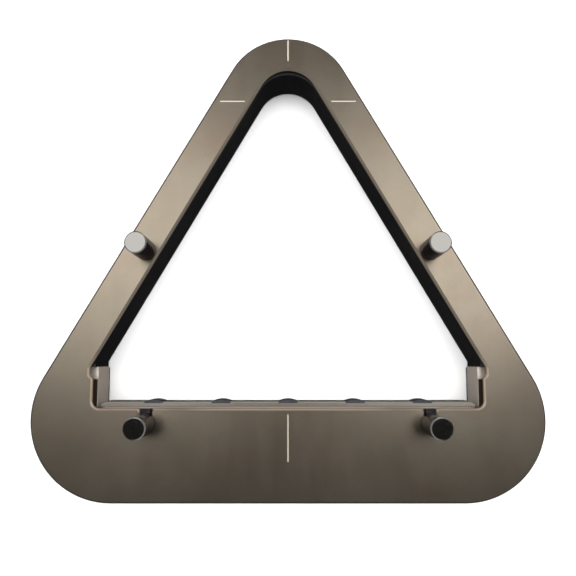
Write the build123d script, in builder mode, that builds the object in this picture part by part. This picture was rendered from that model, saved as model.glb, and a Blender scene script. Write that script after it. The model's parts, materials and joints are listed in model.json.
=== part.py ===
from build123d import *
import math
import os

# Triangle rack for fifteen billiard balls, with a sliding pusher that squeezes the balls tight.
# +Y points to the apex (the head ball), +X to the right, Z = 0 is the table cloth.
# The origin is under the middle of the rack, half way along its depth.

# ---- driving dimensions, millimetres ----
ball_radius = 28.575
overall_depth = 405.0
head_ball_y = 141.5
bar_width = 30.0
rear_corner_radius = 69.0
plate_setback = 0.25
plate_apex_inner_radius = 26.5

pad_top = 2.0
base_top = 4.0
deck_top = 28.0
plate_bottom = 33.0
plate_top = 37.0
plate_bevel = 1.8

opening_half_width = 164.5
opening_rear_y = -124.5
relief_half_width = 167.5
relief_rear_y = -97.0
relief_radius = 3.0
opening_corner_radius = 6.0
deck_half_gap = 163.0
rail_leg_x = 164.0
rail_rear_y = -90.0
body_inset = 2.0
foot_chamfer = 1.0
cavity_corner_radius = 20.0
base_plate_gap = 1.0

pusher_travel = 37.0
pusher_plate_bottom = 28.6
pusher_plate_top = 32.6
bar_front_y = -119.5
bar_thickness = 12.0
bar_half_length = 160.0
bar_bottom = 12.0
bar_front_radius = 5.0
bar_rear_radius = 2.0
bar_foot_chamfer = 0.8
lip_top = 31.0
lip_thickness = 3.7
lip_chamfer = 0.6

bumper_width = 16.0
bumper_inset = 1.2
bumper_proud = 1.8
bumper_bottom = 15.0
bumper_fit = 0.1
bumper_chamfer = 0.5
bumper_count = 5

knob_radius = 9.0
knob_body_height = 24.6
knob_cap_height = 3.4
knob_bore_depth = 14.0
knob_foot_chamfer = 0.6
knob_seam_chamfer = 0.3
cap_chamfer = 0.9
frame_knob = (122.5, 10.0)
pusher_knob = (119.5, -137.5)
knob_lift = 0.5
spacer_radius = 4.0
spacer_gap = 0.3
key_top = 36.4

screw_radius = 2.5
screw_clearance = 0.1
screw_head_radius = 4.25
screw_head_height = 4.6
screw_chamfer = 0.4
socket_radius = 2.3
socket_depth = 2.6
flat_socket_radius = 1.9
flat_socket_depth = 1.6
bore_depth = 5.5
thread_depth = 2.6
hole_end_gap = 0.2

liner_thickness = 0.5
liner_side_gap = 0.5
liner_end_gap = 3.0
running_gap = 0.3
front_stop_x = 176.0
front_stop_width = 10.0
front_stop_gap = 0.6
rear_stop_x = 100.0
rear_stop_length = 16.0

pad_width = 12.0
pad_chamfer = 0.4
leg_pad_length = 36.0
leg_pad_rows = (("front", 75.0), ("middle", -58.0))
rear_pad_length = 60.0
rear_pad = (118.0, -170.0)

mark_width = 1.4
mark_depth = 0.4
apex_mark_length = 19.5
side_mark_length = 22.0
side_mark = (49.0, 143.5)
rear_mark_length = 39.0

# ---- values worked out from them ----
tan30 = math.tan(math.radians(30))
front_y = overall_depth / 2
rear_y = -overall_depth / 2
rail_corner_y = head_ball_y + 2 * ball_radius
plate_corner_y = rail_corner_y + 2 * plate_setback
outer_corner_y = plate_corner_y + 2 * bar_width
apex_radius = outer_corner_y - front_y
bar_middle_corner_y = plate_corner_y + bar_width
bar_rear_y = bar_front_y - bar_thickness
lip_rear_y = bar_front_y - lip_thickness
pusher_front_y = lip_rear_y - running_gap
pusher_rear_y = -192.0
pusher_corner_radius = 3.0
pusher_bevel = 1.0
housing_rear_y = -195.5
shoulder_x = bar_half_length - 2.0
tail_x = shoulder_x - 20.0
tail_flare = 8.0
wing_half_width = 178.0
wing_front_y = -137.5
wing_rear_y = -169.5
slot_half_width = 188.5
slot_rear_y = wing_rear_y - 2.0
bore_radius = screw_head_radius + 0.35
hole_radius = screw_radius + screw_clearance
bolt_bore_radius = screw_radius + 0.05
apex_mark_y = front_y - 12.0
rear_mark_y = opening_rear_y - 24.5
pick_slack = 0.5

sides = (("left", -1), ("right", 1))
apex_screw = (0.0, front_y - 17.0)
rail_screw_rows = (105.0, 45.0, -35.0, -79.0)
countersink_depth = 1.7
corner_screws = ((170.0, -181.5), (200.0, -122.5))
boss_screw = (70.0, -189.5)
boss_radius = 6.5
boss_top = 22.0
boss_hole_top = 16.0
boss_screw_top = 15.5
bar_screw_x = (30.0, 90.0, 146.0)
bar_screw_y = bar_front_y - 8.0


def side_x(corner_y, y):
    """Half width at y of a sixty degree corner whose point is at corner_y."""
    return (corner_y - y) * tan30


rail_screws_xy = [apex_screw]
for row_y in rail_screw_rows:
    rail_screws_xy += [(s * side_x(bar_middle_corner_y, row_y), row_y) for _, s in sides]
corner_screws_xy = [(s * x, y) for x, y in corner_screws for _, s in sides]
boss_screws_xy = [(s * boss_screw[0], boss_screw[1]) for _, s in sides]
bar_screws_xy = [(s * x, bar_screw_y) for x in bar_screw_x for _, s in sides]
frame_knobs_xy = [(s * frame_knob[0], frame_knob[1]) for _, s in sides]
pusher_knobs_xy = [(s * pusher_knob[0], pusher_knob[1]) for _, s in sides]
bumper_x = [2 * ball_radius * (i - (bumper_count - 1) / 2) for i in range(bumper_count)]


os.makedirs("parts", exist_ok=True)


def write(part, name):
    """Label a finished sub-part and write its STEP file."""
    part.label = name
    export_step(part, f"parts/{name}.step")


def frame_outline(inset):
    """Outer outline of the rack, moved inwards by inset."""
    point_y = outer_corner_y - 2 * inset
    base_y = rear_y + inset
    base_x = side_x(point_y, base_y)
    with BuildSketch() as outline:
        with BuildLine():
            Polyline((0, point_y), (base_x, base_y), (-base_x, base_y), close=True)
        make_face()
        fillet(outline.vertices().sort_by(Axis.Y)[-1], apex_radius - inset)
        fillet(outline.vertices().group_by(Axis.Y)[0], rear_corner_radius - inset)
    return outline.sketch


def plate_opening():
    """Opening of the top plate: ball triangle, corner reliefs and knob notches."""
    relief_y = plate_corner_y - relief_half_width / tan30
    jog = relief_half_width - opening_half_width
    right = [
        (relief_half_width, relief_y),
        (relief_half_width, relief_rear_y),
        (opening_half_width, relief_rear_y - jog),
        (opening_half_width, opening_rear_y),
    ]
    left = [(-x, y) for x, y in reversed(right)]
    notch_width = 2 * (spacer_radius + spacer_gap)
    notch_length = opening_rear_y - pusher_knob[1] + notch_width
    notch_mouth_limit = pusher_knob[0] + notch_width
    with BuildSketch() as opening:
        with BuildLine():
            Polyline((0, plate_corner_y), *right, *left, close=True)
        make_face()
        fillet(opening.vertices().sort_by(Axis.Y)[-1], plate_apex_inner_radius)
        fillet(opening.vertices().group_by(Axis.Y)[0], opening_corner_radius)
        relief_end_y = relief_rear_y - jog - pick_slack
        reliefs = opening.vertices().filter_by_position(Axis.Y, relief_end_y, relief_y + pick_slack)
        fillet(reliefs, relief_radius)
        with Locations(*[(x, pusher_knob[1] + notch_length / 2) for x, _ in pusher_knobs_xy]):
            Rectangle(notch_width, notch_length)
        edge_low = opening_rear_y - pick_slack
        edge_high = opening_rear_y + pick_slack
        rear_points = opening.vertices().filter_by_position(Axis.Y, edge_low, edge_high)
        mouths = rear_points.filter_by_position(Axis.X, -notch_mouth_limit, notch_mouth_limit)
        fillet(mouths, relief_radius)
        with Locations(*pusher_knobs_xy):
            Circle(notch_width / 2)
    return opening.sketch


def ball_space():
    """Plan of the space inside the front rail, with a head ball seat at its apex."""
    leg_y = rail_corner_y - rail_leg_x / tan30
    with BuildSketch() as space:
        with BuildLine():
            Polyline(
                (0, rail_corner_y),
                (rail_leg_x, leg_y),
                (rail_leg_x, rear_y),
                (-rail_leg_x, rear_y),
                (-rail_leg_x, leg_y),
                close=True,
            )
        make_face()
        fillet(space.vertices().sort_by(Axis.Y)[-1], ball_radius)
    return space.sketch


def band(y_low, y_high, half_width):
    """Rectangle across the rack between two y values."""
    with BuildSketch() as strip:
        with Locations((0, (y_low + y_high) / 2)):
            Rectangle(2 * half_width, y_high - y_low)
    return strip.sketch


# ---- frame: top plate, front rail, rear housing, base plate ----
with BuildPart() as top_plate:
    with BuildSketch(Plane.XY.offset(plate_bottom)):
        add(frame_outline(0))
        add(plate_opening(), mode=Mode.SUBTRACT)
    extrude(amount=plate_top - plate_bottom)
    chamfer(top_plate.faces().sort_by(Axis.Z)[-1].edges(), plate_bevel)
    with BuildSketch(Plane.XY.offset(plate_top - mark_depth)):
        with Locations((0, apex_mark_y)):
            Rectangle(mark_width, apex_mark_length)
        with Locations((-side_mark[0], side_mark[1]), side_mark):
            Rectangle(side_mark_length, mark_width)
        with Locations((0, rear_mark_y)):
            Rectangle(mark_width, rear_mark_length)
    extrude(amount=mark_depth, mode=Mode.SUBTRACT)
    with BuildSketch(Plane.XY.offset(plate_bottom)):
        with Locations(*rail_screws_xy, *corner_screws_xy):
            Circle(hole_radius)
    extrude(amount=thread_depth + hole_end_gap, mode=Mode.SUBTRACT)
    with BuildSketch(Plane.XY.offset(plate_bottom)):
        with Locations(*frame_knobs_xy):
            Circle(hole_radius)
    extrude(amount=plate_top - plate_bottom, mode=Mode.SUBTRACT)
write(top_plate.part, "top_plate")

with BuildPart() as front_rail:
    with BuildSketch(Plane.XY.offset(pad_top)):
        add(frame_outline(body_inset))
        add(ball_space(), mode=Mode.SUBTRACT)
        add(band(rear_y, rail_rear_y, overall_depth), mode=Mode.SUBTRACT)
    extrude(amount=plate_bottom - pad_top)
    chamfer(front_rail.faces().sort_by(Axis.Z)[0].edges(), foot_chamfer)
    with BuildSketch(Plane.XY.offset(pad_top)):
        with Locations(*rail_screws_xy, *frame_knobs_xy):
            Circle(hole_radius)
    extrude(amount=plate_bottom - pad_top, mode=Mode.SUBTRACT)
    with BuildSketch(Plane.XY.offset(pad_top)):
        with Locations(*rail_screws_xy, *frame_knobs_xy):
            Circle(bore_radius)
    extrude(amount=bore_depth, mode=Mode.SUBTRACT)
write(front_rail.part, "front_rail")

with BuildPart() as rear_housing:
    with BuildSketch(Plane.XY.offset(base_top)):
        add(frame_outline(body_inset))
        add(band(rail_rear_y, outer_corner_y, overall_depth), mode=Mode.SUBTRACT)
    extrude(amount=plate_bottom - base_top)
    with BuildSketch(Plane.XY.offset(base_top)) as cavity:
        add(band(housing_rear_y, rail_rear_y, deck_half_gap))
        fillet(cavity.vertices().group_by(Axis.Y)[0], cavity_corner_radius)
    extrude(amount=plate_bottom - base_top, mode=Mode.SUBTRACT)
    with BuildSketch(Plane.XY.offset(deck_top)):
        add(band(slot_rear_y, rail_rear_y, slot_half_width))
    extrude(amount=plate_bottom - deck_top, mode=Mode.SUBTRACT)
    with BuildSketch(Plane.XY.offset(base_top)):
        with Locations(*boss_screws_xy):
            Circle(boss_radius)
    extrude(amount=boss_top - base_top)
    with BuildSketch(Plane.XY.offset(base_top)):
        with Locations(*corner_screws_xy):
            Circle(hole_radius)
    extrude(amount=plate_bottom - base_top, mode=Mode.SUBTRACT)
    with BuildSketch(Plane.XY.offset(base_top)):
        with Locations(*boss_screws_xy):
            Circle(hole_radius)
    extrude(amount=boss_hole_top - base_top, mode=Mode.SUBTRACT)
write(rear_housing.part, "rear_housing")

with BuildPart() as base_plate:
    with BuildSketch(Plane.XY.offset(pad_top)):
        add(frame_outline(2 * body_inset))
        add(band(rail_rear_y - base_plate_gap, outer_corner_y, overall_depth), mode=Mode.SUBTRACT)
        add(band(bar_rear_y - body_inset, rail_rear_y, deck_half_gap), mode=Mode.SUBTRACT)
        with Locations(*corner_screws_xy, *boss_screws_xy):
            Circle(hole_radius, mode=Mode.SUBTRACT)
    extrude(amount=base_top - pad_top)
    with BuildSketch(Plane.XY.offset(pad_top)):
        with Locations(*corner_screws_xy, *boss_screws_xy):
            Circle(hole_radius + countersink_depth)
    extrude(amount=countersink_depth, taper=45, mode=Mode.SUBTRACT)
write(base_plate.part, "base_plate")

# ---- slide liners and stops, one of each on either side ----
liner_front_y = wing_front_y + pusher_travel
liner_rear_y = slot_rear_y + liner_end_gap
liner_length = liner_front_y - liner_rear_y
liner_y = (liner_front_y + liner_rear_y) / 2
floor_width = slot_half_width - deck_half_gap - 2 * liner_side_gap
floor_x = (deck_half_gap + slot_half_width) / 2
wall_width = slot_half_width - wing_half_width - running_gap
wall_x = slot_half_width - wall_width / 2
front_stop_length = rail_rear_y - liner_front_y - front_stop_gap
rear_stop_thickness = pusher_rear_y - running_gap - housing_rear_y
rear_stop_y = housing_rear_y + rear_stop_thickness / 2
stop_height = pusher_plate_top - pusher_plate_bottom

for side, sign in sides:
    with BuildPart() as liner:
        with BuildSketch(Plane.XY.offset(deck_top)):
            with Locations((sign * floor_x, liner_y)):
                Rectangle(floor_width, liner_length)
        extrude(amount=liner_thickness)
        with BuildSketch(Plane.XY.offset(deck_top)):
            with Locations((sign * wall_x, liner_y)):
                Rectangle(wall_width, liner_length)
        extrude(amount=plate_bottom - deck_top)
    write(liner.part, f"{side}_slide_liner")

    with BuildPart() as front_stop:
        with BuildSketch(Plane.XY.offset(deck_top)):
            with Locations((sign * front_stop_x, rail_rear_y - front_stop_length / 2)):
                Rectangle(front_stop_width, front_stop_length)
        extrude(amount=plate_bottom - deck_top)
    write(front_stop.part, f"{side}_front_stop")

    with BuildPart() as rear_stop:
        with BuildSketch(Plane.XY.offset(pusher_plate_bottom)):
            with Locations((sign * rear_stop_x, rear_stop_y)):
                Rectangle(rear_stop_length, rear_stop_thickness)
        extrude(amount=stop_height)
    write(rear_stop.part, f"{side}_rear_stop")


# ---- fasteners ----
def socket_screw(place, seat_z, top_z):
    """Socket head cap screw whose head stands under seat_z and whose shank ends at top_z."""
    with BuildPart() as screw:
        with BuildSketch(Plane.XY.offset(seat_z - screw_head_height)):
            with Locations(place):
                Circle(screw_head_radius)
        extrude(amount=screw_head_height)
        chamfer(screw.faces().sort_by(Axis.Z)[0].edges(), screw_chamfer)
        with BuildSketch(Plane.XY.offset(seat_z)):
            with Locations(place):
                Circle(screw_radius)
        extrude(amount=top_z - seat_z)
        with BuildSketch(Plane.XY.offset(seat_z - screw_head_height)):
            with Locations(place):
                RegularPolygon(socket_radius, 6)
        extrude(amount=socket_depth, mode=Mode.SUBTRACT)
    return screw.part


def countersunk_screw(place, top_z):
    """Flat head screw let into the base plate, with its shank up to top_z."""
    with BuildPart() as screw:
        with BuildSketch(Plane.XY.offset(pad_top + screw_clearance)):
            with Locations(place):
                Circle(screw_radius + countersink_depth)
        extrude(amount=countersink_depth, taper=45)
        with BuildSketch(Plane.XY.offset(pad_top + screw_clearance + countersink_depth)):
            with Locations(place):
                Circle(screw_radius)
        extrude(amount=top_z - pad_top - screw_clearance - countersink_depth)
        with BuildSketch(Plane.XY.offset(pad_top + screw_clearance)):
            with Locations(place):
                RegularPolygon(flat_socket_radius, 6)
        extrude(amount=flat_socket_depth, mode=Mode.SUBTRACT)
    return screw.part


rail_seat_z = pad_top + bore_depth
thread_top = plate_bottom + thread_depth

rail_screws = [socket_screw(place, rail_seat_z, thread_top) for place in rail_screws_xy]
write(Compound(children=rail_screws), "rail_screws")
housing_screws = [countersunk_screw(place, thread_top) for place in corner_screws_xy]
write(Compound(children=housing_screws), "housing_screws")
boss_screws = [countersunk_screw(place, boss_screw_top) for place in boss_screws_xy]
write(Compound(children=boss_screws), "base_plate_screws")


# ---- glide pads under the frame ----
def glide_pad(center, length, angle):
    """Round-ended pad between the cloth and the frame."""
    with BuildPart() as pad:
        with BuildSketch():
            with Locations(Location((center[0], center[1], 0), (0, 0, angle))):
                SlotOverall(length, pad_width)
        extrude(amount=pad_top)
        chamfer(pad.faces().sort_by(Axis.Z)[0].edges(), pad_chamfer)
    return pad.part


for side, sign in sides:
    for row, row_y in leg_pad_rows:
        center = (sign * side_x(bar_middle_corner_y, row_y), row_y)
        write(glide_pad(center, leg_pad_length, -sign * 60), f"{row}_{side}_glide_pad")
    write(glide_pad((sign * rear_pad[0], rear_pad[1]), rear_pad_length, 0), f"rear_{side}_glide_pad")


# ---- grip knobs ----
def knob_body(place, bottom):
    """Turned black grip with a blind bore for its bolt."""
    with BuildPart() as body:
        with BuildSketch(Plane.XY.offset(bottom)):
            with Locations(place):
                Circle(knob_radius)
        extrude(amount=knob_body_height)
        chamfer(body.edges().group_by(Axis.Z)[0], knob_foot_chamfer)
        chamfer(body.edges().group_by(Axis.Z)[-1], knob_seam_chamfer)
        with BuildSketch(Plane.XY.offset(bottom)):
            with Locations(place):
                Circle(bolt_bore_radius)
        extrude(amount=knob_bore_depth, mode=Mode.SUBTRACT)
    return body.part


def knob_cap(place, bottom):
    """Bevelled metal disc on the top of a knob."""
    with BuildPart() as cap:
        with BuildSketch(Plane.XY.offset(bottom + knob_body_height)):
            with Locations(place):
                Circle(knob_radius)
        extrude(amount=knob_cap_height)
        chamfer(cap.edges().group_by(Axis.Z)[-1], cap_chamfer)
        chamfer(cap.edges().group_by(Axis.Z)[0], knob_seam_chamfer)
    return cap.part


def notch_key(place):
    """Black key under a pusher knob: a spacer ring and a tongue that fills the plate's notch."""
    key_front_y = opening_rear_y - spacer_gap
    with BuildPart() as key:
        with BuildSketch(Plane.XY.offset(pusher_plate_top)):
            with Locations(place):
                Circle(spacer_radius)
            with Locations((place[0], (place[1] + key_front_y) / 2)):
                Rectangle(2 * spacer_radius, key_front_y - place[1])
        extrude(amount=key_top - pusher_plate_top)
        with BuildSketch(Plane.XY.offset(key_top)):
            with Locations(place):
                Circle(spacer_radius)
        extrude(amount=plate_top + knob_lift - key_top)
        with BuildSketch(Plane.XY.offset(pusher_plate_top)):
            with Locations(place):
                Circle(hole_radius)
        extrude(amount=plate_top + knob_lift - pusher_plate_top, mode=Mode.SUBTRACT)
    return key.part


for (side, _), frame_place, pusher_place in zip(sides, frame_knobs_xy, pusher_knobs_xy):
    write(knob_body(frame_place, plate_top), f"{side}_frame_knob")
    write(knob_cap(frame_place, plate_top), f"{side}_frame_knob_cap")
    frame_bolt_top = plate_top + knob_bore_depth
    write(socket_screw(frame_place, rail_seat_z, frame_bolt_top), f"{side}_frame_knob_bolt")

    write(knob_body(pusher_place, plate_top + knob_lift), f"{side}_pusher_knob")
    write(knob_cap(pusher_place, plate_top + knob_lift), f"{side}_pusher_knob_cap")
    pusher_bolt_top = plate_top + knob_lift + knob_bore_depth
    bolt = socket_screw(pusher_place, pusher_plate_bottom, pusher_bolt_top)
    write(bolt, f"{side}_pusher_knob_bolt")
    write(notch_key(pusher_place), f"{side}_pusher_knob_key")


# ---- pusher: plate, bar, five ball bumpers and their screws ----
with BuildPart() as pusher_plate:
    right = [
        (shoulder_x, pusher_front_y),
        (shoulder_x, wing_front_y),
        (wing_half_width, wing_front_y),
        (wing_half_width, wing_rear_y),
        (tail_x + tail_flare, wing_rear_y),
        (tail_x, pusher_rear_y),
    ]
    left = [(-x, y) for x, y in reversed(right)]
    with BuildSketch(Plane.XY.offset(pusher_plate_bottom)) as pusher_outline:
        with BuildLine():
            Polyline(*right, *left, close=True)
        make_face()
        fillet(pusher_outline.vertices(), pusher_corner_radius)
        with Locations(*pusher_knobs_xy):
            Circle(hole_radius, mode=Mode.SUBTRACT)
    extrude(amount=pusher_plate_top - pusher_plate_bottom)
    bevel_edges = pusher_plate.faces().sort_by(Axis.Z)[-1].outer_wire().edges()
    chamfer(bevel_edges, pusher_bevel)
    with BuildSketch(Plane.XY.offset(pusher_plate_bottom)):
        with Locations(*bar_screws_xy):
            Circle(hole_radius)
    extrude(amount=thread_depth + hole_end_gap, mode=Mode.SUBTRACT)
write(pusher_plate.part, "pusher_plate")

with BuildPart() as pusher_bar:
    with BuildSketch(Plane.XY.offset(bar_bottom)) as bar_outline:
        add(band(bar_rear_y, bar_front_y, bar_half_length))
        fillet(bar_outline.vertices().group_by(Axis.Y)[-1], bar_front_radius)
        fillet(bar_outline.vertices().group_by(Axis.Y)[0], bar_rear_radius)
    extrude(amount=lip_top - bar_bottom)
    with BuildSketch(Plane.XY.offset(pusher_plate_bottom)):
        add(band(bar_rear_y, lip_rear_y, bar_half_length))
    extrude(amount=lip_top - pusher_plate_bottom, mode=Mode.SUBTRACT)
    chamfer(pusher_bar.faces().sort_by(Axis.Z)[-1].edges().sort_by(Axis.Y)[-1], lip_chamfer)
    chamfer(pusher_bar.faces().sort_by(Axis.Z)[0].edges(), bar_foot_chamfer)
    with BuildSketch(Plane.XY.offset(bumper_bottom)):
        with Locations(*[(x, bar_front_y - bumper_inset / 2) for x in bumper_x]):
            Rectangle(bumper_width + 2 * bumper_fit, bumper_inset)
    extrude(amount=lip_top - bumper_bottom, mode=Mode.SUBTRACT)
    with BuildSketch(Plane.XY.offset(bar_bottom)):
        with Locations(*bar_screws_xy):
            Circle(hole_radius)
    extrude(amount=pusher_plate_bottom - bar_bottom, mode=Mode.SUBTRACT)
    with BuildSketch(Plane.XY.offset(bar_bottom)):
        with Locations(*bar_screws_xy):
            Circle(bore_radius)
    extrude(amount=bore_depth, mode=Mode.SUBTRACT)
write(pusher_bar.part, "pusher_bar")

bumper_back_y = bar_front_y - bumper_inset
bumper_front_y = bar_front_y + bumper_proud
for number, x in enumerate(bumper_x, start=1):
    left_x = x - bumper_width / 2
    right_x = x + bumper_width / 2
    with BuildPart() as bumper:
        with BuildSketch(Plane.XY.offset(bumper_bottom)):
            with BuildLine():
                Polyline(
                    (left_x, bar_front_y),
                    (left_x, bumper_back_y),
                    (right_x, bumper_back_y),
                    (right_x, bar_front_y),
                )
                ThreePointArc((left_x, bar_front_y), (x, bumper_front_y), (right_x, bar_front_y))
            make_face()
        extrude(amount=lip_top - bumper_bottom)
        chamfer(bumper.edges().filter_by(GeomType.CIRCLE), bumper_chamfer)
    write(bumper.part, f"ball_bumper_{number}")

bar_screws = [
    socket_screw(place, bar_bottom + bore_depth, pusher_plate_bottom + thread_depth)
    for place in bar_screws_xy
]
write(Compound(children=bar_screws), "pusher_bar_screws")

ball_tight_y = head_ball_y - 4 * math.sqrt(3) * ball_radius - ball_radius
tight_travel = ball_tight_y - bumper_front_y
print(f"rack width {2 * frame_outline(0).bounding_box().max.X:.1f}")
print(f"travel to tight {tight_travel:.2f} of {pusher_travel}")
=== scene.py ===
"""Triangle rack, shown from above: materials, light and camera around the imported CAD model."""

import json
import math

import bpy
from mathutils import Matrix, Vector


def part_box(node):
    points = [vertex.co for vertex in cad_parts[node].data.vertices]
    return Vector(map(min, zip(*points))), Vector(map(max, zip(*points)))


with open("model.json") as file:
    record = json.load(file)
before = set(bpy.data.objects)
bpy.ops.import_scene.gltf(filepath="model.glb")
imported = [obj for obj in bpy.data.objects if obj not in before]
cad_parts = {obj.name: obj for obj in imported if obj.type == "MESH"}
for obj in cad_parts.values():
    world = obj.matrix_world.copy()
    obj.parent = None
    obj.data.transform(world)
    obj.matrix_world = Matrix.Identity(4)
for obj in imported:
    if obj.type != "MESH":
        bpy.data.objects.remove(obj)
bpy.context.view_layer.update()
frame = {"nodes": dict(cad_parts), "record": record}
nodes = frame["nodes"]

MM = 0.001
PLATE_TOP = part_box("top_plate")[1][2]
PLATE_BEVEL = 1.8 * MM
MARK_DEPTH = 0.4 * MM
RACK_MIDDLE_Y = -50.0 * MM
CORNER_FRONT_Y = -88.0 * MM
LEG_REAR_Y = -78.0 * MM


# ---- node graph helpers ----
class Graph:
    """A material's node tree, with short calls for the nodes the materials use."""

    def __init__(self, name):
        self.material = bpy.data.materials.new(name)
        self.material.use_nodes = True
        self.tree = self.material.node_tree
        self.tree.nodes.clear()
        self.output = self.add("ShaderNodeOutputMaterial")
        self.shader = self.add("ShaderNodeBsdfPrincipled")
        self.link(self.shader.outputs["BSDF"], self.output.inputs["Surface"])
        self.coords = self.add("ShaderNodeTexCoord")
        self.geometry = self.add("ShaderNodeNewGeometry")

    def add(self, kind):
        return self.tree.nodes.new(kind)

    def link(self, source, target):
        self.tree.links.new(source, target)

    def put(self, socket, value):
        """Link a socket to another, or set its plain value."""
        if hasattr(value, "is_output"):
            self.link(value, socket)
        else:
            socket.default_value = value

    def set(self, **values):
        """Set or link inputs of the Principled shader by name."""
        for name, value in values.items():
            self.put(self.shader.inputs[name.replace("_", " ")], value)

    def mapped(self, scale):
        """Coordinates of the piece, stretched by scale on each axis."""
        mapping = self.add("ShaderNodeMapping")
        self.link(self.coords.outputs["Object"], mapping.inputs["Vector"])
        mapping.inputs["Scale"].default_value = scale
        return mapping.outputs["Vector"]

    def noise(self, scale, detail=4.0, roughness=0.55, vector=None, distortion=0.0):
        node = self.add("ShaderNodeTexNoise")
        node.inputs["Scale"].default_value = scale
        node.inputs["Detail"].default_value = detail
        node.inputs["Roughness"].default_value = roughness
        node.inputs["Distortion"].default_value = distortion
        self.link(vector or self.coords.outputs["Object"], node.inputs["Vector"])
        return node.outputs["Fac"]

    def ramp(self, value, stops):
        """Colour ramp; a stop is (position, grey) or (position, (r, g, b))."""
        node = self.add("ShaderNodeValToRGB")
        elements = node.color_ramp.elements
        while len(elements) > 1:
            elements.remove(elements[-1])
        for index, (position, colour) in enumerate(stops):
            element = elements[0] if index == 0 else elements.new(position)
            element.position = position
            rgb = colour if isinstance(colour, tuple) else (colour, colour, colour)
            element.color = (*rgb, 1.0)
        self.link(value, node.inputs["Fac"])
        return node.outputs["Color"]

    def mix(self, factor, first, second, blend="MIX"):
        node = self.add("ShaderNodeMix")
        node.data_type = "RGBA"
        node.blend_type = blend
        self.put(node.inputs[0], factor)
        for socket, value in ((node.inputs[6], first), (node.inputs[7], second)):
            self.put(socket, (*value, 1.0) if isinstance(value, tuple) else value)
        return node.outputs[2]

    def math(self, operation, first, second=0.0, clamp=False):
        node = self.add("ShaderNodeMath")
        node.operation = operation
        node.use_clamp = clamp
        self.put(node.inputs[0], first)
        self.put(node.inputs[1], second)
        return node.outputs[0]

    def vector_math(self, operation, first, second=(0.0, 0.0, 0.0), result="Vector"):
        """Vector operation; result is Value for a length or a dot product."""
        node = self.add("ShaderNodeVectorMath")
        node.operation = operation
        self.put(node.inputs[0], first)
        self.put(node.inputs[1], second)
        return node.outputs[result]

    def span(self, value, low, high, new_low=0.0, new_high=1.0):
        """Map a value from one range to another, held at the ends."""
        node = self.add("ShaderNodeMapRange")
        self.put(node.inputs["Value"], value)
        node.inputs["From Min"].default_value = low
        node.inputs["From Max"].default_value = high
        node.inputs["To Min"].default_value = new_low
        node.inputs["To Max"].default_value = new_high
        return node.outputs["Result"]

    def axis(self, vector, index):
        node = self.add("ShaderNodeSeparateXYZ")
        self.link(vector, node.inputs[0])
        return node.outputs[index]

    def bump(self, height, strength, distance):
        node = self.add("ShaderNodeBump")
        node.inputs["Strength"].default_value = strength
        node.inputs["Distance"].default_value = distance
        self.link(height, node.inputs["Height"])
        return node.outputs["Normal"]

    def normal(self, index):
        return self.axis(self.geometry.outputs["Normal"], index)

    def position(self, index):
        return self.axis(self.geometry.outputs["Position"], index)

    def bevelled(self):
        """One on faces that slope up at about forty five degrees, zero elsewhere."""
        up = self.normal(2)
        not_wall = self.math("GREATER_THAN", up, 0.3)
        not_level = self.math("LESS_THAN", up, 0.93)
        return self.math("MULTIPLY", not_wall, not_level)

    def facing_out(self, centre_y):
        """One on faces turned away from the rack's middle, zero on those turned towards it."""
        middle = (0.0, centre_y, 0.0)
        outward = self.vector_math("SUBTRACT", self.geometry.outputs["Position"], middle)
        level = self.vector_math("MULTIPLY", outward, (1.0, 1.0, 0.0))
        along = self.vector_math("DOT_PRODUCT", level, self.geometry.outputs["Normal"], "Value")
        return self.math("GREATER_THAN", along, 0.0)


def blasted_metal(name, dark, light, rough=(0.33, 0.39)):
    """Graph of fine bead-blasted anodised aluminium: cloudy colour, grain, faint scuffs."""
    graph = Graph(name)
    clouds = graph.noise(9.0, 6.0, 0.62)
    tint = graph.noise(16.0, 4.0, 0.6, graph.mapped((1.0, 1.6, 1.0)))
    grain = graph.noise(2600.0, 2.0, 0.5)
    base = graph.mix(graph.span(clouds, 0.34, 0.66), dark, light)
    warm = tuple(value * factor for value, factor in zip(dark, (1.12, 1.0, 0.98)))
    base = graph.mix(graph.span(tint, 0.5, 0.72, 0.0, 0.6), base, warm)
    speckle = graph.ramp(grain, [(0.35, 0.25), (0.65, 0.85)])
    graph.base_colour = graph.mix(0.16, base, speckle, "OVERLAY")
    scuffs = graph.noise(60.0, 8.0, 0.7, graph.mapped((1.0, 0.25, 1.0)))
    worn = graph.math("ADD", graph.math("MULTIPLY", grain, 0.4), scuffs)
    graph.roughness = graph.span(worn, 0.5, 0.95, *rough)
    graph.set(Metallic=1.0, Normal=graph.bump(grain, 0.12, 0.00008))
    return graph


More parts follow.
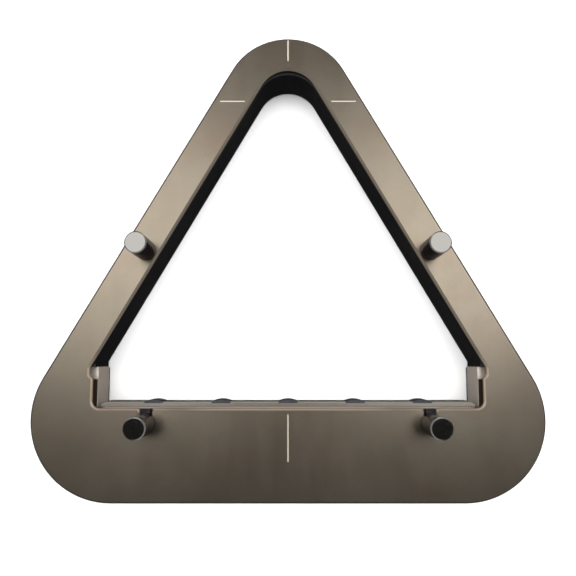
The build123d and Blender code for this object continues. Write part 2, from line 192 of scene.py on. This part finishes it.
def plate_bronze():
    """Top plate: bronze anodised face, cut bevels round the opening, cream filled marks.

    The bevel colour is bare machined metal plus a painted highlight: a bright band with darker
    edges. Painted shade dulls it on the rear edge, which faces the apex, and along the legs,
    leaving it brightest in the rear corners, and darkens it round the outside. The rear marks
    carry painted shade, darker than the same fill along the legs.
    """
    graph = blasted_metal("plate_bronze", (0.166, 0.142, 0.109), (0.196, 0.169, 0.132))
    z = graph.position(2)
    # Bevel colour across its height: bare machined metal plus a painted highlight band with darker
    # painted edges.
    cut_metal_and_painted_light = graph.ramp(
        graph.span(z, PLATE_TOP - PLATE_BEVEL, PLATE_TOP),
        [
            (0.0, (0.16, 0.085, 0.05)),
            (0.25, (0.36, 0.23, 0.15)),
            (0.5, (0.48, 0.422, 0.345)),
            (0.85, (0.38, 0.338, 0.276)),
            (1.0, (0.22, 0.17, 0.13)),
        ],
    )
    streaks = graph.span(graph.noise(90.0, 3.0), 0.35, 0.7, 0.0, 0.4)
    cut_metal_and_painted_light = graph.mix(streaks, cut_metal_and_painted_light, (0.34, 0.23, 0.16))
    # Painted shade on the bevel of the rear edge, which faces the apex.
    apex_facing_painted_shade = graph.span(graph.normal(1), 0.4, 0.65, 0.0, 0.5)
    cut_metal_and_painted_light = graph.mix(apex_facing_painted_shade, cut_metal_and_painted_light, (0.14, 0.11, 0.085))
    # Mask from the rear corners (0) to the legs (1): painted shade on the bevel along the legs, and
    # painted light on the marks there.
    painted_light_leg_mask = graph.span(graph.position(1), CORNER_FRONT_Y, LEG_REAR_Y)
    cut_metal_and_painted_light = graph.mix(painted_light_leg_mask, cut_metal_and_painted_light, (0.175, 0.148, 0.115))
    bevel = graph.bevelled()
    # Painted shade: bevels turned away from the rack's middle are coloured dark.
    outer_bevel_painted_shade = graph.math("MULTIPLY", bevel, graph.facing_out(RACK_MIDDLE_Y))
    level = graph.math("GREATER_THAN", graph.normal(2), 0.9)
    in_groove = graph.math("LESS_THAN", z, PLATE_TOP - MARK_DEPTH / 2)
    in_mark = graph.math("MULTIPLY", level, in_groove)
    colour = graph.mix(bevel, graph.base_colour, cut_metal_and_painted_light)
    colour = graph.mix(outer_bevel_painted_shade, colour, (0.085, 0.066, 0.050))
    # Painted shade: the rear marks get a darker copy of the same cream fill as the marks along the
    # legs.
    mark_fill_painted_shade = graph.mix(painted_light_leg_mask, (0.31, 0.275, 0.221), (0.43, 0.382, 0.308))
    colour = graph.mix(in_mark, colour, mark_fill_painted_shade)
    roughness = graph.mix(bevel, graph.roughness, (0.30, 0.30, 0.30))
    shine = graph.math("SUBTRACT", 1.0, graph.math("MULTIPLY", bevel, 0.12))
    graph.set(
        Base_Color=colour,
        Roughness=roughness,
        Metallic=graph.math("SUBTRACT", shine, in_mark, clamp=True),
    )
    return graph.material


def pusher_metal():
    """Pusher plate and bar: grey bronze face with a bright bevel."""
    graph = blasted_metal("pusher_metal", (0.160, 0.151, 0.135), (0.205, 0.192, 0.172))
    colour = graph.mix(graph.bevelled(), graph.base_colour, (0.30, 0.26, 0.21))
    graph.set(Base_Color=colour, Roughness=graph.roughness, Metallic=0.75)
    return graph.material


def housing_metal():
    """Machined housing: metal a shade lighter than the plate, with level cutter lines."""
    dark, light = (0.41, 0.361, 0.313), (0.455, 0.403, 0.349)
    graph = blasted_metal("housing_metal", dark, light, rough=(0.28, 0.36))
    lines = graph.noise(1300.0, 3.0, 0.6, graph.mapped((0.0004, 0.0004, 1.0)))
    shade = graph.ramp(lines, [(0.4, 0.3), (0.6, 0.8)])
    graph.set(
        Base_Color=graph.mix(0.1, graph.base_colour, shade, "OVERLAY"),
        Roughness=graph.roughness,
        Normal=graph.bump(lines, 0.08, 0.00004),
        Metallic=0.5,
    )
    return graph.material


def base_sheet():
    """Rolled sheet under the housing, dark anodised, with rolling grain and rub marks."""
    dark, light = (0.10, 0.095, 0.088), (0.145, 0.138, 0.125)
    graph = blasted_metal("base_sheet", dark, light, rough=(0.3, 0.5))
    rolled = graph.noise(500.0, 3.0, 0.6, graph.mapped((0.03, 1.0, 1.0)))
    shade = graph.ramp(rolled, [(0.35, 0.3), (0.65, 0.8)])
    graph.set(
        Base_Color=graph.mix(0.3, graph.base_colour, shade, "OVERLAY"),
        Roughness=graph.roughness,
        Normal=graph.bump(rolled, 0.12, 0.00005),
    )
    return graph.material


def rail_black():
    """Polished black acetal: deep gloss, faint milling waves and hairline scratches."""
    graph = Graph("rail_black")
    waves = graph.noise(40.0, 3.0, 0.5, graph.mapped((1.0, 1.0, 0.2)))
    hair = graph.noise(700.0, 6.0, 0.75, graph.mapped((0.08, 0.08, 1.0)))
    smudge = graph.noise(18.0, 5.0, 0.6)
    colour = graph.mix(graph.span(smudge, 0.35, 0.7), (0.003, 0.003, 0.004), (0.007, 0.0065, 0.007))
    worn = graph.math("ADD", smudge, graph.math("MULTIPLY", hair, 0.3))
    rough = graph.span(worn, 0.5, 0.9, 0.30, 0.46)
    height = graph.math("ADD", waves, graph.math("MULTIPLY", hair, 0.15))
    graph.set(Base_Color=colour, Roughness=rough, Normal=graph.bump(height, 0.2, 0.0002))
    graph.set(Specular_IOR_Level=0.3)
    return graph.material


def knob_black():
    """Polished black grip, very faintly warm, with fine turning rings along its height."""
    graph = Graph("knob_black")
    rings = graph.noise(2200.0, 2.0, 0.5, graph.mapped((0.01, 0.01, 1.0)))
    smudge = graph.noise(120.0, 4.0, 0.6)
    colour = graph.mix(graph.span(smudge, 0.35, 0.7), (0.003, 0.002, 0.002), (0.007, 0.004, 0.004))
    rough = graph.span(smudge, 0.3, 0.75, 0.14, 0.26)
    graph.set(Base_Color=colour, Roughness=rough, Normal=graph.bump(rings, 0.1, 0.00004))
    graph.set(Specular_IOR_Level=0.25)
    return graph.material


def cap_metal():
    """Turned knob cap: satin face with concentric tool marks and a bright bevel."""
    graph = Graph("cap_metal")
    from_centre = graph.vector_math("SUBTRACT", graph.coords.outputs["Generated"], (0.5, 0.5, 0.5))
    flat = graph.vector_math("MULTIPLY", from_centre, (1.0, 1.0, 0.0))
    radius = graph.vector_math("LENGTH", flat, result="Value")
    ring_height = graph.math("SINE", graph.math("MULTIPLY", radius, 260.0))
    grain = graph.noise(1800.0, 3.0)
    bevel = graph.bevelled()
    face = graph.mix(grain, (0.122, 0.118, 0.109), (0.170, 0.165, 0.155))
    graph.set(
        Base_Color=graph.mix(bevel, face, (0.20, 0.195, 0.185)),
        Roughness=graph.mix(bevel, graph.span(grain, 0.3, 0.7, 0.05, 0.09), (0.2, 0.2, 0.2)),
        Normal=graph.bump(graph.math("ADD", ring_height, grain), 0.035, 0.00005),
        Metallic=1.0,
    )
    return graph.material


def screw_steel():
    """Black oxide steel with a worn, slightly brown sheen."""
    graph = Graph("screw_steel")
    wear = graph.noise(320.0, 6.0, 0.7)
    oxide = [
        (0.3, (0.025, 0.025, 0.028)),
        (0.62, (0.05, 0.047, 0.045)),
        (0.8, (0.16, 0.15, 0.14)),
    ]
    graph.set(
        Base_Color=graph.ramp(wear, oxide),
        Roughness=graph.span(wear, 0.3, 0.7, 0.3, 0.5),
        Normal=graph.bump(wear, 0.2, 0.00005),
        Metallic=1.0,
    )
    return graph.material


def soft_black(name, light, scale):
    """Matt black rubber with a fine moulded texture and patches of dust."""
    graph = Graph(name)
    texture = graph.noise(scale, 4.0, 0.6)
    dust = graph.noise(80.0, 6.0, 0.7)
    tone = graph.mix(graph.span(texture, 0.35, 0.65), (0.012, 0.012, 0.013), light)
    graph.set(
        Base_Color=graph.mix(graph.span(dust, 0.55, 0.8, 0.0, 0.35), tone, (0.07, 0.068, 0.064)),
        Roughness=graph.span(dust, 0.3, 0.7, 0.5, 0.75),
        Normal=graph.bump(texture, 0.35, 0.00012),
    )
    return graph.material


def liner_plastic():
    """Bronze-filled low-friction plastic, dark brown, with sliding marks along the travel."""
    graph = Graph("liner_plastic")
    rub = graph.noise(420.0, 4.0, 0.65, graph.mapped((1.0, 0.04, 1.0)))
    brown = [
        (0.3, (0.008, 0.004, 0.002)),
        (0.6, (0.014, 0.008, 0.004)),
        (0.8, (0.030, 0.019, 0.011)),
    ]
    graph.set(
        Base_Color=graph.ramp(rub, brown),
        Roughness=graph.span(rub, 0.3, 0.7, 0.4, 0.6),
        Normal=graph.bump(rub, 0.15, 0.00006),
    )
    return graph.material


def pad_felt():
    """Pressed dark felt: tangled fibres over soft clumps."""
    graph = Graph("pad_felt")
    fibres = graph.noise(1500.0, 8.0, 0.8, distortion=2.5)
    clumps = graph.noise(160.0, 4.0)
    height = graph.math("ADD", fibres, graph.math("MULTIPLY", clumps, 0.6))
    wool = [
        (0.3, (0.012, 0.012, 0.014)),
        (0.55, (0.035, 0.035, 0.038)),
        (0.75, (0.075, 0.075, 0.08)),
    ]
    graph.set(
        Base_Color=graph.ramp(fibres, wool),
        Roughness=0.95,
        Normal=graph.bump(height, 0.7, 0.0003),
        Sheen_Weight=0.5,
        Sheen_Roughness=0.5,
    )
    return graph.material


MATERIALS = {
    "plate_bronze": plate_bronze(),
    "pusher_metal": pusher_metal(),
    "housing_metal": housing_metal(),
    "base_sheet": base_sheet(),
    "rail_black": rail_black(),
    "knob_black": knob_black(),
    "cap_metal": cap_metal(),
    "screw_steel": screw_steel(),
    "stop_rubber": soft_black("stop_rubber", (0.03, 0.03, 0.03), 900.0),
    "bumper_rubber": soft_black("bumper_rubber", (0.022, 0.022, 0.024), 600.0),
    "liner_plastic": liner_plastic(),
    "pad_felt": pad_felt(),
}
for subpart in frame["record"]["subparts"]:
    piece = nodes[subpart["node"]]
    for slot in piece.material_slots:
        slot.material = MATERIALS[subpart["material_slot"]]


# ---- floor, light and camera ----
def stage_floor():
    """Plain pale floor under the rack, left out of reflections."""
    half_width = 7.0
    mesh = bpy.data.meshes.new("floor")
    signs = ((-1, -1), (1, -1), (1, 1), (-1, 1))
    corners = [(x * half_width, y * half_width, 0.0) for x, y in signs]
    mesh.from_pydata(corners, [], [(0, 1, 2, 3)])
    floor = bpy.data.objects.new("floor", mesh)
    bpy.context.scene.collection.objects.link(floor)
    floor_graph = Graph("floor_white")
    floor_graph.set(Base_Color=(0.86, 0.86, 0.86, 1.0), Roughness=0.8)
    mesh.materials.append(floor_graph.material)
    floor.visible_glossy = False


def softbox(name, place, aim, size, power):
    """Rectangular area light at place, facing aim."""
    data = bpy.data.lights.new(name, "AREA")
    data.shape = "RECTANGLE"
    data.size, data.size_y = size
    data.energy = power
    light = bpy.data.objects.new(name, data)
    bpy.context.scene.collection.objects.link(light)
    light.location = place
    direction = [a - p for a, p in zip(aim, place)]
    light.rotation_euler = Vector(direction).to_track_quat("-Z", "Y").to_euler()
    return light


def studio_world():
    """World lit by direction: bright walls low down, a dim ceiling, darkness below the table."""
    world = bpy.data.worlds.new("studio")
    world.use_nodes = True
    tree = world.node_tree
    coords = tree.nodes.new("ShaderNodeTexCoord")
    split = tree.nodes.new("ShaderNodeSeparateXYZ")
    level = tree.nodes.new("ShaderNodeMapRange")
    level.inputs["From Min"].default_value = -1.0
    level.inputs["From Max"].default_value = 1.0
    shade = tree.nodes.new("ShaderNodeValToRGB")
    below = [(0.0, 0.03), (0.42, 0.03)]
    walls = [(0.45, 1.0), (0.58, 1.0), (0.66, 0.75), (0.74, 0.75)]
    ceiling = [(0.87, 0.07), (1.0, 0.055)]
    for index, (position, grey) in enumerate(below + walls + ceiling):
        elements = shade.color_ramp.elements
        element = elements[index] if index < 2 else elements.new(position)
        element.position = position
        element.color = (grey, grey, grey, 1.0)
    tree.links.new(coords.outputs["Generated"], split.inputs[0])
    tree.links.new(split.outputs["Z"], level.inputs["Value"])
    tree.links.new(level.outputs["Result"], shade.inputs["Fac"])
    tree.links.new(shade.outputs["Color"], tree.nodes["Background"].inputs["Color"])
    return world


stage_floor()
for side in (-1, 1):
    softbox(
        f"softbox_{side}",
        place=(side * 0.72, 0.45, 1.5),
        aim=(side * 0.08, 0.03, 0.0),
        size=(1.02, 1.3),
        power=15.6,
    )
softbox(
    "front_strip",
    place=(0.0, 1.3, 0.32),
    aim=(0.0, -0.12, 0.03),
    size=(1.5, 0.45),
    power=1.3,
)
fill = softbox(
    "floor_fill",
    place=(0.0, 0.0, 5.0),
    aim=(0.0, 0.0, 0.0),
    size=(24.0, 24.0),
    power=2050.0,
)
fill.visible_glossy = False

bpy.context.scene.world = studio_world()
bpy.context.scene.view_settings.view_transform = "Standard"

camera_data = bpy.data.cameras.new("camera")
camera_data.lens = 29.4
camera_data.sensor_width = 36.0
camera_data.shift_y = 0.06
camera = bpy.data.objects.new("camera", camera_data)
bpy.context.scene.collection.objects.link(camera)
camera.location = (0.0, -0.0845, 0.435)
camera.rotation_euler = (math.radians(4.6), 0.0, 0.0)
bpy.context.scene.camera = camera
